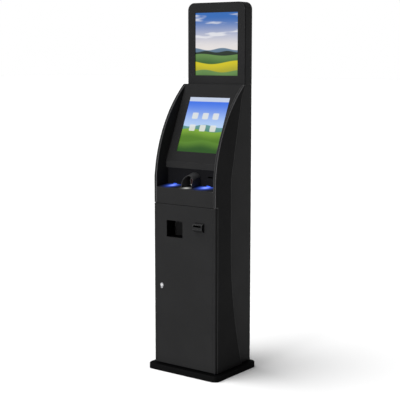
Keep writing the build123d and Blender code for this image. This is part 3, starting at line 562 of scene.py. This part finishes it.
def lit_pane(name, corner, along, up, thickness, steps, picture, node):
    """A closed glass slab whose front shows a picture.

    The front is a grid of corner + a along + b up with a and b from 0 to 1. The back is the
    front's outline pushed in by the thickness, and side faces join the two.
    """
    corner, along, up = (np.array(v, dtype=float) for v in (corner, along, up))
    inward = np.cross(up, along)
    inward *= thickness / np.linalg.norm(inward)
    a, b = np.meshgrid(np.linspace(0, 1, steps[0] + 1), np.linspace(0, 1, steps[1] + 1))
    front = (corner + a[..., None] * along + b[..., None] * up).reshape(-1, 3)
    colour = np.ones((len(front), 4))
    colour[:, :3] = np.clip(picture(a, b), 0, 1).reshape(-1, 3)
    width = steps[0] + 1
    cell = (np.arange(steps[1])[:, None] * width + np.arange(steps[0])).ravel()
    faces = np.stack([cell, cell + 1, cell + width + 1, cell + width], -1).tolist()
    top = steps[1] * width
    ring = np.concatenate([
        np.arange(steps[0]), np.arange(steps[1]) * width + steps[0],
        top + np.arange(steps[0], 0, -1), np.arange(steps[1], 0, -1) * width,
    ])
    back = front[ring] + inward
    behind = len(front) + np.arange(len(ring))
    sides = np.stack([np.roll(ring, -1), ring, behind, np.roll(behind, -1)], -1).tolist()
    mesh = bpy.data.meshes.new(name)
    points = np.concatenate([front, back]).tolist()
    mesh.from_pydata(points, [], faces + sides + [behind[::-1].tolist()])
    layer = mesh.attributes.new("Picture", "FLOAT_COLOR", "POINT")
    black = np.zeros((len(back), 4))
    black[:, 3] = 1
    layer.data.foreach_set("color", np.concatenate([colour, black]).ravel())
    mesh.materials.append(glass_black(f"{name}_lit"))
    pane = bpy.data.objects.new(name, mesh)
    scene.collection.objects.link(pane)
    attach(pane, body_of_node[node])
    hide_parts(node)


show_low, show_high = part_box("display_glass")
show_width = show_high.x - show_low.x
show_height = show_high.z - show_low.z
show_thickness = show_high.y - show_low.y
upper_cells = (150, 178)
lit_pane(
    "display_pane", (show_low.x, show_low.y, show_low.z), (show_width, 0, 0), (0, 0, show_height),
    show_thickness, upper_cells, evening_bands, "display_glass",
)

# The touch screen leans back, so its box is deeper and taller than the pane by the thickness.
tilt = radians(23.6)
pane_thickness = 0.003
touch_low, touch_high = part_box("touch_glass")
touch_width = touch_high.x - touch_low.x
touch_run = touch_high.y - touch_low.y - pane_thickness * cos(tilt)
touch_rise = touch_high.z - touch_low.z - pane_thickness * sin(tilt)
touch_foot = touch_low.z + pane_thickness * sin(tilt)
lower_cells = (146, 174)
lit_pane(
    "touch_pane", (touch_low.x, touch_low.y, touch_foot), (touch_width, 0, 0),
    (0, touch_run, touch_rise), pane_thickness, lower_cells, menu_bands, "touch_glass",
)

# ---------------------------------------------------------------- door lock
# A cam lock in a die-cast housing at the door's left edge: a bright turned plug with a dark key
# slot, a plated cam behind the door, and a plated strike on the cheek.


def brushed_group():
    """Brushed metal as a node group.

    Streaks are noise on coordinates squeezed along one way by the Stretch vector. Color is Metal
    times 1 plus or minus Streak, Roughness is Gloss plus the streaks' share, Height the streaks.
    """
    group = bpy.data.node_groups.new("brushed_metal", "ShaderNodeTree")
    face = group.interface
    face.new_socket("Vector", in_out="INPUT", socket_type="NodeSocketVector")
    face.new_socket("Stretch", in_out="INPUT", socket_type="NodeSocketVector")
    face.new_socket("Metal", in_out="INPUT", socket_type="NodeSocketColor")
    for name, value in (("Streak", 0.12), ("Gloss", 0.25), ("Spread", 0.18)):
        face.new_socket(name, in_out="INPUT", socket_type="NodeSocketFloat").default_value = value
    face.new_socket("Color", in_out="OUTPUT", socket_type="NodeSocketColor")
    face.new_socket("Roughness", in_out="OUTPUT", socket_type="NodeSocketFloat")
    face.new_socket("Height", in_out="OUTPUT", socket_type="NodeSocketFloat")
    nodes, links = group.nodes, group.links
    given = nodes.new("NodeGroupInput")
    out = nodes.new("NodeGroupOutput")
    squeeze = nodes.new("ShaderNodeVectorMath")
    squeeze.operation = "MULTIPLY"
    links.new(given.outputs["Vector"], squeeze.inputs[0])
    links.new(given.outputs["Stretch"], squeeze.inputs[1])
    streaks = nodes.new("ShaderNodeTexNoise")
    streaks.inputs["Scale"].default_value = 1
    streaks.inputs["Detail"].default_value = 5
    links.new(squeeze.outputs[0], streaks.inputs["Vector"])
    centred = nodes.new("ShaderNodeMath")
    centred.operation = "SUBTRACT"
    centred.inputs[1].default_value = 0.5
    links.new(streaks.outputs["Fac"], centred.inputs[0])
    shade = nodes.new("ShaderNodeMath")
    shade.operation = "MULTIPLY_ADD"
    shade.inputs[2].default_value = 1
    links.new(centred.outputs[0], shade.inputs[0])
    links.new(given.outputs["Streak"], shade.inputs[1])
    tint = nodes.new("ShaderNodeVectorMath")
    tint.operation = "SCALE"
    links.new(given.outputs["Metal"], tint.inputs[0])
    links.new(shade.outputs[0], tint.inputs["Scale"])
    rough = nodes.new("ShaderNodeMath")
    rough.operation = "MULTIPLY_ADD"
    links.new(streaks.outputs["Fac"], rough.inputs[0])
    links.new(given.outputs["Spread"], rough.inputs[1])
    links.new(given.outputs["Gloss"], rough.inputs[2])
    links.new(tint.outputs[0], out.inputs["Color"])
    links.new(rough.outputs[0], out.inputs["Roughness"])
    links.new(streaks.outputs["Fac"], out.inputs["Height"])
    return group


brushed_steel = brushed_group()


def brushed(name, metal, stretch, gloss=0.25, streak=0.3, bump=0.08, metallic=1.0):
    """A metal material whose colour, roughness and bump come from the brushed-metal group."""
    material = bpy.data.materials.new(name)
    material.use_nodes = True
    nodes, links = material.node_tree.nodes, material.node_tree.links
    shader = nodes["Principled BSDF"]
    place = nodes.new("ShaderNodeTexCoord")
    grain = nodes.new("ShaderNodeGroup")
    grain.node_tree = brushed_steel
    grain.inputs["Stretch"].default_value = stretch
    grain.inputs["Metal"].default_value = (*metal, 1)
    grain.inputs["Streak"].default_value = streak
    grain.inputs["Gloss"].default_value = gloss
    relief = nodes.new("ShaderNodeBump")
    relief.inputs["Strength"].default_value = bump
    relief.inputs["Distance"].default_value = 0.0003
    links.new(place.outputs["Object"], grain.inputs["Vector"])
    links.new(grain.outputs["Color"], shader.inputs["Base Color"])
    links.new(grain.outputs["Roughness"], shader.inputs["Roughness"])
    links.new(grain.outputs["Height"], relief.inputs["Height"])
    links.new(relief.outputs[0], shader.inputs["Normal"])
    shader.inputs["Metallic"].default_value = metallic
    return material


def moulded_group():
    """Spark-eroded moulded plastic as a node group.

    Color is Plastic, a little paler on the crowns of the fine cells and darker in a broad bloom,
    Roughness falls on the crowns where hands have polished them, and Height is the cells.
    """
    group = bpy.data.node_groups.new("moulded_grain", "ShaderNodeTree")
    face = group.interface
    face.new_socket("Vector", in_out="INPUT", socket_type="NodeSocketVector")
    face.new_socket("Plastic", in_out="INPUT", socket_type="NodeSocketColor")
    for name, value in (("Cells", 900.0), ("Gloss", 0.45)):
        face.new_socket(name, in_out="INPUT", socket_type="NodeSocketFloat").default_value = value
    face.new_socket("Color", in_out="OUTPUT", socket_type="NodeSocketColor")
    face.new_socket("Roughness", in_out="OUTPUT", socket_type="NodeSocketFloat")
    face.new_socket("Height", in_out="OUTPUT", socket_type="NodeSocketFloat")
    nodes, links = group.nodes, group.links
    given = nodes.new("NodeGroupInput")
    out = nodes.new("NodeGroupOutput")
    cells = nodes.new("ShaderNodeTexVoronoi")
    cells.feature = "SMOOTH_F1"
    links.new(given.outputs["Vector"], cells.inputs["Vector"])
    links.new(given.outputs["Cells"], cells.inputs["Scale"])
    bloom = nodes.new("ShaderNodeTexNoise")
    bloom.inputs["Scale"].default_value = 18
    bloom.inputs["Detail"].default_value = 3
    links.new(given.outputs["Vector"], bloom.inputs["Vector"])
    crown = nodes.new("ShaderNodeMapRange")
    crown.inputs["To Min"].default_value = 1.08
    crown.inputs["To Max"].default_value = 0.9
    links.new(cells.outputs["Distance"], crown.inputs["Value"])
    haze = nodes.new("ShaderNodeMath")
    haze.operation = "MULTIPLY_ADD"
    haze.inputs[1].default_value = 0.3
    haze.inputs[2].default_value = 0.85
    links.new(bloom.outputs["Fac"], haze.inputs[0])
    shade = nodes.new("ShaderNodeMath")
    shade.operation = "MULTIPLY"
    links.new(crown.outputs[0], shade.inputs[0])
    links.new(haze.outputs[0], shade.inputs[1])
    tint = nodes.new("ShaderNodeVectorMath")
    tint.operation = "SCALE"
    links.new(given.outputs["Plastic"], tint.inputs[0])
    links.new(shade.outputs[0], tint.inputs["Scale"])
    rough = nodes.new("ShaderNodeMath")
    rough.operation = "MULTIPLY_ADD"
    rough.inputs[1].default_value = 0.12
    links.new(cells.outputs["Distance"], rough.inputs[0])
    links.new(given.outputs["Gloss"], rough.inputs[2])
    links.new(tint.outputs[0], out.inputs["Color"])
    links.new(rough.outputs[0], out.inputs["Roughness"])
    links.new(cells.outputs["Distance"], out.inputs["Height"])
    return group


spark_eroded = moulded_group()


def moulded(name, plastic, gloss=0.4, cells=900.0, bump=0.12, specular=0.25):
    """A plastic material whose colour, roughness and bump come from the moulded-grain group."""
    material = bpy.data.materials.new(name)
    material.use_nodes = True
    nodes, links = material.node_tree.nodes, material.node_tree.links
    shader = nodes["Principled BSDF"]
    place = nodes.new("ShaderNodeTexCoord")
    grain = nodes.new("ShaderNodeGroup")
    grain.node_tree = spark_eroded
    grain.inputs["Plastic"].default_value = (*plastic, 1)
    grain.inputs["Cells"].default_value = cells
    grain.inputs["Gloss"].default_value = gloss
    relief = nodes.new("ShaderNodeBump")
    relief.inputs["Strength"].default_value = bump
    relief.inputs["Distance"].default_value = 0.0003
    relief.invert = True
    links.new(place.outputs["Object"], grain.inputs["Vector"])
    links.new(grain.outputs["Color"], shader.inputs["Base Color"])
    links.new(grain.outputs["Roughness"], shader.inputs["Roughness"])
    links.new(grain.outputs["Height"], relief.inputs["Height"])
    links.new(relief.outputs[0], shader.inputs["Normal"])
    shader.inputs["Specular IOR Level"].default_value = specular
    return material


die_cast = moulded("die_cast", (0.16, 0.16, 0.17), gloss=0.35, cells=1600, specular=0.5)
die_cast_edge = moulded("die_cast_edge", (0.30, 0.30, 0.31), gloss=0.3, cells=1600, specular=0.5)
turned_face = brushed("turned_face", (0.66, 0.66, 0.67), (900, 900, 900), gloss=0.16)
plated = brushed("plated_part", (0.46, 0.47, 0.48), (60, 60, 900), gloss=0.28)
plated_edge = brushed("plated_edge", (0.62, 0.63, 0.64), (60, 60, 900), gloss=0.2)
lock_housing_round = 0.0012
soften("lock_housing", lock_housing_round, die_cast, die_cast_edge)
lock_plug_round = 0.0005
soften("lock_plug", lock_plug_round, turned_face, turned_face)
lock_cam_round = 0.0003
soften("lock_cam", lock_cam_round, plated, plated_edge)
lock_strike_round = 0.0004
soften("lock_strike", lock_strike_round, plated, plated_edge)

# ---------------------------------------------------------------- note reader and receipt pocket
# The note reader's nose is a moulded black funnel on the door, and the receipt pocket is a
# moulded tray behind an open window in the door.
moulding = moulded("black_moulding", (0.0035, 0.0035, 0.0038), gloss=0.4, cells=1100, specular=0.12)
moulding_edge = moulded(
    "black_moulding_edge", (0.009, 0.009, 0.0095), gloss=0.34, cells=1100, specular=0.2
)
# The pocket's moulding is darker than the other black mouldings: painted shade inside the open window.
pocket_black_painted_shade = moulded("pocket_black_painted_shade", (0.0012, 0.0012, 0.0013), gloss=0.5, cells=1100, specular=0.05)
reader_bezel_round = 0.0015
soften("reader_bezel", reader_bezel_round, moulding, moulding_edge)
reader_throat_round = 0.0006
soften("reader_throat", reader_throat_round, moulding, moulding_edge)
receipt_pocket_round = 0.0008
soften("receipt_pocket", receipt_pocket_round, pocket_black_painted_shade, moulding_edge)

# ---------------------------------------------------------------- scanner window and slot units
# A dark red-black window stands in the hood's mouth, and the code reader and the card reader sit
# behind the recess wall in their moulded cases.
scan_glass = moulded("scan_glass", (0.016, 0.004, 0.005), gloss=0.06, cells=300, bump=0.0, specular=0.5)
case_grey = moulded("case_grey", (0.045, 0.047, 0.05), gloss=0.42, cells=700)
case_edge = moulded("case_edge", (0.085, 0.088, 0.092), gloss=0.36, cells=700)
scanner_window_round = 0.0006
soften("scanner_window", scanner_window_round, scan_glass, scan_glass)
scanner_module_round = 0.0012
soften("scanner_module", scanner_module_round, case_grey, case_edge)
card_module_round = 0.0010
soften("card_module", card_module_round, moulding, moulding_edge)

# ---------------------------------------------------------------- folded back covers and brackets
# The upper display's rear case is the column's sheet. Its panel and brackets, and those of the
# touch screen, are plated pressings with a soft spangle.


def spangled(name, zinc, cells, gloss=0.34):
    """Hot-dip plated sheet: each crystal of the zinc has its own shade and its own gloss."""
    material = bpy.data.materials.new(name)
    material.use_nodes = True
    nodes, links = material.node_tree.nodes, material.node_tree.links
    shader = nodes["Principled BSDF"]
    place = nodes.new("ShaderNodeTexCoord")
    crystal = nodes.new("ShaderNodeTexVoronoi")
    crystal.inputs["Scale"].default_value = cells
    links.new(place.outputs["Object"], crystal.inputs["Vector"])
    ramp = nodes.new("ShaderNodeValToRGB")
    ramp.color_ramp.elements[0].color = tuple(0.8 * c for c in zinc) + (1,)
    ramp.color_ramp.elements[1].color = tuple(min(1, 1.15 * c) for c in zinc) + (1,)
    links.new(crystal.outputs["Color"], ramp.inputs["Fac"])
    links.new(ramp.outputs["Color"], shader.inputs["Base Color"])
    rough = nodes.new("ShaderNodeMapRange")
    rough.inputs["To Min"].default_value = gloss
    rough.inputs["To Max"].default_value = gloss + 0.2
    links.new(crystal.outputs["Color"], rough.inputs["Value"])
    links.new(rough.outputs[0], shader.inputs["Roughness"])
    shader.inputs["Metallic"].default_value = 1
    return material


pressing = spangled("zinc_pressing", (0.44, 0.45, 0.47), 160)
pressing_edge = brushed("pressing_edge", (0.58, 0.59, 0.60), (300, 300, 300), gloss=0.25)
pressing_round = 0.0006
for node in ("display_panel", "touch_display", "display_bracket", "touch_brackets"):
    soften(node, pressing_round, pressing, pressing_edge)

# ---------------------------------------------------------------- shelves, frames and door pivots
# Plated shelves stand inside the body, two upright plates hold the note unit, and the door turns
# on steel pins in bronze bushes.
shelf_zinc = spangled("shelf_zinc", (0.50, 0.51, 0.53), 90)
shelf_round = 0.0004
for node in ("service_shelf", "printer_shelf", "validator_frame_left", "validator_frame_right"):
    soften(node, shelf_round, shelf_zinc, pressing_edge)
bronze = brushed("sintered_bronze", (0.42, 0.25, 0.10), (700, 700, 700), gloss=0.38)
pin_steel = brushed("ground_pin", (0.60, 0.60, 0.61), (900, 900, 60), gloss=0.15)
# The door pins are coloured near black.
near_black_pin = brushed("near_black_pin", (0.018, 0.018, 0.022), (900, 900, 60), gloss=0.4)
door_bushes_round = 0.0003
soften("door_bushes", door_bushes_round, bronze, bronze)
door_pins_round = 0.0003
soften("door_pins", door_pins_round, near_black_pin, near_black_pin)

# ---------------------------------------------------------------- note unit and cash cassette
# The validator is a grey moulded unit on the frames, and a tough cassette with a pull handle
# slides in under it.
unit_grey = moulded("unit_grey", (0.06, 0.062, 0.066), gloss=0.45, cells=800)
unit_edge = moulded("unit_edge", (0.12, 0.122, 0.127), gloss=0.38, cells=800)
cassette_blue = moulded("cassette_shell", (0.022, 0.030, 0.046), gloss=0.4, cells=600)
cassette_edge = moulded("cassette_edge", (0.05, 0.062, 0.085), gloss=0.34, cells=600)
note_validator_round = 0.0020
soften("note_validator", note_validator_round, unit_grey, unit_edge)
cash_box_round = 0.0025
soften("cash_box", cash_box_round, cassette_blue, cassette_edge)
cash_handle_round = 0.0015
soften("cash_handle", cash_handle_round, moulding, moulding_edge)

# ---------------------------------------------------------------- receipt printer and paper
# The printer is a moulded case with a hinged lid on a steel pin. Its roll of heat paper is wound
# in fine rings on a plastic spindle between two plated holders.
roll_low, roll_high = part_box("paper_roll")
roll_middle = (roll_low + roll_high) / 2


def wound_paper(name):
    """Heat paper on a roll: rings of fine turns on the ends and a faint bloom over the outside.

    The rings are waves of the distance from the roll's axis, one about every millimetre.
    """
    material = bpy.data.materials.new(name)
    material.use_nodes = True
    nodes, links = material.node_tree.nodes, material.node_tree.links
    shader = nodes["Principled BSDF"]
    place = nodes.new("ShaderNodeTexCoord")
    centred = nodes.new("ShaderNodeMapping")
    centred.vector_type = "TEXTURE"
    centred.inputs["Location"].default_value = roll_middle
    turns = nodes.new("ShaderNodeTexWave")
    turns.wave_type = "RINGS"
    turns.rings_direction = "X"
    turns.inputs["Scale"].default_value = 314
    turns.inputs["Distortion"].default_value = 0.6
    bloom = nodes.new("ShaderNodeTexNoise")
    bloom.inputs["Scale"].default_value = 70
    share = nodes.new("ShaderNodeMath")
    share.operation = "MULTIPLY"
    ramp = nodes.new("ShaderNodeValToRGB")
    ramp.color_ramp.elements[0].color = (0.62, 0.62, 0.60, 1)
    ramp.color_ramp.elements[1].color = (0.86, 0.86, 0.84, 1)
    links.new(place.outputs["Object"], centred.inputs["Vector"])
    links.new(centred.outputs[0], turns.inputs["Vector"])
    links.new(place.outputs["Object"], bloom.inputs["Vector"])
    links.new(turns.outputs["Fac"], share.inputs[0])
    links.new(bloom.outputs["Fac"], share.inputs[1])
    links.new(share.outputs[0], ramp.inputs["Fac"])
    links.new(ramp.outputs["Color"], shader.inputs["Base Color"])
    rough = nodes.new("ShaderNodeMapRange")
    rough.inputs["To Min"].default_value = 0.6
    rough.inputs["To Max"].default_value = 0.8
    links.new(bloom.outputs["Fac"], rough.inputs["Value"])
    links.new(rough.outputs[0], shader.inputs["Roughness"])
    return material


heat_paper = wound_paper("heat_paper")
paper_roll_round = 0.0004
soften("paper_roll", paper_roll_round, heat_paper, heat_paper)
paper_spindle_round = 0.0004
soften("paper_spindle", paper_spindle_round, moulding, moulding_edge)
receipt_printer_round = 0.0015
soften("receipt_printer", receipt_printer_round, moulding, moulding_edge)
printer_cover_round = 0.0010
soften("printer_cover", printer_cover_round, moulding, moulding_edge)
cover_pin_round = 0.0002
soften("cover_pin", cover_pin_round, pin_steel, pin_steel)
paper_holders_round = 0.0005
soften("paper_holders", paper_holders_round, pressing, pressing_edge)

# ---------------------------------------------------------------- computer, power supply and fan
# A flat computer in a black coated case stands on the shelf, a plated power supply on the base
# plate, and an axial fan sits inside the back panel.
computer_coat = coated("computer_coat", (0.022, 0.022, 0.023), gloss=0.5, specular=0.3)
computer_edge = coated("computer_edge", (0.05, 0.05, 0.052), gloss=0.4, specular=0.4)
supply_zinc = spangled("supply_zinc", (0.56, 0.57, 0.58), 130)
fan_plastic = moulded("fan_plastic", (0.014, 0.014, 0.015), gloss=0.3, cells=1300)
fan_edge = moulded("fan_edge", (0.035, 0.035, 0.037), gloss=0.25, cells=1300)
computer_round = 0.0015
soften("computer", computer_round, computer_coat, computer_edge)
power_supply_round = 0.0010
soften("power_supply", power_supply_round, supply_zinc, pressing_edge)
fan_housing_round = 0.0010
soften("fan_housing", fan_housing_round, fan_plastic, fan_edge)
fan_rotor_round = 0.0004
soften("fan_rotor", fan_rotor_round, fan_plastic, fan_edge)

# ---------------------------------------------------------------- mains inlet, switch and screws
# Low on the back stand the moulded inlet with its three blades and the rocker switch in its own
# frame, and plated pan-head screws hold the back panel.
mains_inlet_round = 0.0005
soften("mains_inlet", mains_inlet_round, moulding, moulding_edge)
switch_body_round = 0.0005
soften("switch_body", switch_body_round, moulding, moulding_edge)
power_rocker_round = 0.0008
soften("power_rocker", power_rocker_round, fan_plastic, fan_edge)
screw_zinc = brushed("screw_zinc", (0.52, 0.53, 0.54), (500, 500, 500), gloss=0.26)
back_screws_round = 0.0004
soften("back_screws", back_screws_round, screw_zinc, screw_zinc)
